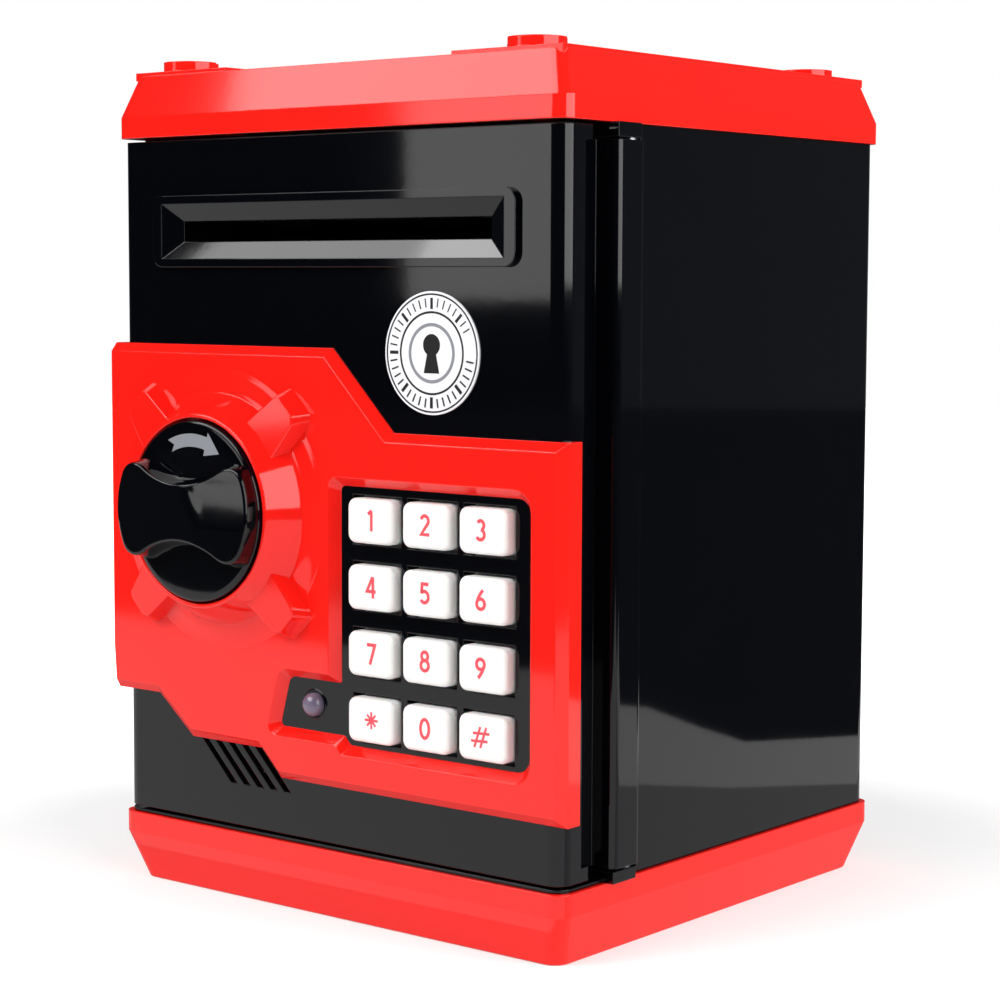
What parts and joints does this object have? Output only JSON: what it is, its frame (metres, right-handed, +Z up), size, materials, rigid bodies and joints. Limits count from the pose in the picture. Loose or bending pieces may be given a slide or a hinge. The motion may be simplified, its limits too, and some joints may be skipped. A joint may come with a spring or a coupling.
{
  "type": "toy atm savings bank",
  "caption": "Toy safe money box with a swinging keypad door, turning knob latch, motor-fed bill slot, coin slot and battery base.",
  "frame": {"origin": "centre of the flat underside of the base", "axes": "+Z up, the door and keypad face -Y, +X towards the hinge side (right seen from the front)"},
  "size_m": [0.1335, 0.1377, 0.19],
  "materials": {
    "red_plastic": "glossy moulded plastic",
    "black_plastic": "glossy black moulded plastic",
    "grey_plastic": "matt inner plastic",
    "white_plastic": "satin white plastic",
    "gear_plastic": "natural acetal",
    "steel": "plated steel",
    "rubber": "moulded rubber",
    "mat_rubber": "silicone rubber",
    "board": "coated circuit board",
    "lamp": "clear violet grey epoxy",
    "badge_silver": "silver printed disc",
    "cell": "printed sleeve",
    "wire": "insulated wire",
    "cone": "paper cone in a pressed frame"
  },
  "bodies": {
    "root": {"base_tray": "red_plastic", "body_shell": "black_plastic", "top_cover": "red_plastic", "door_frame": "black_plastic", "battery_box": "grey_plastic", "battery_door": "red_plastic", "battery_door_screw": "steel", "battery_cells": "cell", "battery_contacts": "steel", "base_screws": "steel", "cover_screws": "steel", "hinge_pin_upper": "steel", "hinge_pin_lower": "steel", "loom_base": "wire"},
    "door": {"door_shell": "black_plastic", "front_panel": "red_plastic", "slot_bezel": "black_plastic", "keypad_plate": "black_plastic", "key_mat": "mat_rubber", "keypad_board": "board", "board_screws": "steel", "led": "lamp", "speaker": "cone", "speaker_screws": "steel", "door_back": "black_plastic", "back_screws": "steel", "panel_screws": "steel", "feeder_lower": "grey_plastic", "feeder_upper": "grey_plastic", "feeder_screws": "steel", "feed_motor": "steel", "gear_axle": "steel", "solenoid": "steel", "loom_door": "wire", "badge": "badge_silver"},
    "knob": {"knob": "black_plastic", "lock_disc": "gear_plastic", "latch_cam": "black_plastic", "cam_screw": "steel"},
    "plunger": {"plunger": "steel"},
    "roller": {"drive_shaft": "steel", "drive_rollers": "rubber", "roller_gear": "gear_plastic"},
    "reduction": {"reduction_gear": "gear_plastic"},
    "pinion": {"motor_pinion": "gear_plastic"},
    "idler": {"idler_shaft": "steel", "idler_rollers": "gear_plastic"},
    "key_1": {"key_1": "white_plastic"},
    "key_2": {"key_2": "white_plastic"},
    "key_3": {"key_3": "white_plastic"},
    "key_4": {"key_4": "white_plastic"},
    "key_5": {"key_5": "white_plastic"},
    "key_6": {"key_6": "white_plastic"},
    "key_7": {"key_7": "white_plastic"},
    "key_8": {"key_8": "white_plastic"},
    "key_9": {"key_9": "white_plastic"},
    "key_star": {"key_star": "white_plastic"},
    "key_0": {"key_0": "white_plastic"},
    "key_hash": {"key_hash": "white_plastic"}
  },
  "joints": [
    {"name": "door_swing", "type": "hinge", "parent": "root", "child": "door", "pos_m": [0.0642, -0.0383, 0.09], "axis": [0, 0, 1], "range_deg": [0, 110]},
    {"name": "knob_turn", "type": "hinge", "parent": "door", "child": "knob", "pos_m": [-0.0303, -0.06, 0.0894], "axis": [0, 1, 0], "range_deg": [-90, 0]},
    {"name": "plunger_slide", "type": "slide", "parent": "door", "child": "plunger", "axis": [0, 0, 1], "range_m": [0, 0.0035], "stiffness_N_per_m": 200},
    {"name": "roller_spin", "type": "hinge", "parent": "door", "child": "roller", "pos_m": [0, -0.043, 0.1428], "axis": [1, 0, 0], "continuous": true},
    {"name": "reduction_spin", "type": "hinge", "parent": "door", "child": "reduction", "pos_m": [0.04, -0.043, 0.1337], "axis": [1, 0, 0], "continuous": true},
    {"name": "pinion_spin", "type": "hinge", "parent": "door", "child": "pinion", "pos_m": [0.04, -0.043, 0.121], "axis": [1, 0, 0], "continuous": true},
    {"name": "idler_spin", "type": "hinge", "parent": "door", "child": "idler", "pos_m": [0, -0.043, 0.1572], "axis": [1, 0, 0], "continuous": true},
    {"name": "key_1_press", "type": "slide", "parent": "door", "child": "key_1", "axis": [0, 1, 0], "range_m": [0, 0.0011], "stiffness_N_per_m": 300},
    {"name": "key_2_press", "type": "slide", "parent": "door", "child": "key_2", "axis": [0, 1, 0], "range_m": [0, 0.0011], "stiffness_N_per_m": 300},
    {"name": "key_3_press", "type": "slide", "parent": "door", "child": "key_3", "axis": [0, 1, 0], "range_m": [0, 0.0011], "stiffness_N_per_m": 300},
    {"name": "key_4_press", "type": "slide", "parent": "door", "child": "key_4", "axis": [0, 1, 0], "range_m": [0, 0.0011], "stiffness_N_per_m": 300},
    {"name": "key_5_press", "type": "slide", "parent": "door", "child": "key_5", "axis": [0, 1, 0], "range_m": [0, 0.0011], "stiffness_N_per_m": 300},
    {"name": "key_6_press", "type": "slide", "parent": "door", "child": "key_6", "axis": [0, 1, 0], "range_m": [0, 0.0011], "stiffness_N_per_m": 300},
    {"name": "key_7_press", "type": "slide", "parent": "door", "child": "key_7", "axis": [0, 1, 0], "range_m": [0, 0.0011], "stiffness_N_per_m": 300},
    {"name": "key_8_press", "type": "slide", "parent": "door", "child": "key_8", "axis": [0, 1, 0], "range_m": [0, 0.0011], "stiffness_N_per_m": 300},
    {"name": "key_9_press", "type": "slide", "parent": "door", "child": "key_9", "axis": [0, 1, 0], "range_m": [0, 0.0011], "stiffness_N_per_m": 300},
    {"name": "key_star_press", "type": "slide", "parent": "door", "child": "key_star", "axis": [0, 1, 0], "range_m": [0, 0.0011], "stiffness_N_per_m": 300},
    {"name": "key_0_press", "type": "slide", "parent": "door", "child": "key_0", "axis": [0, 1, 0], "range_m": [0, 0.0011], "stiffness_N_per_m": 300},
    {"name": "key_hash_press", "type": "slide", "parent": "door", "child": "key_hash", "axis": [0, 1, 0], "range_m": [0, 0.0011], "stiffness_N_per_m": 300}
  ],
  "couplings": [
    {"joint": "reduction_spin", "follows": "roller_spin", "ratio": -0.66667},
    {"joint": "pinion_spin", "follows": "roller_spin", "ratio": 1.6667},
    {"joint": "idler_spin", "follows": "roller_spin", "ratio": -1.3333}
  ]
}
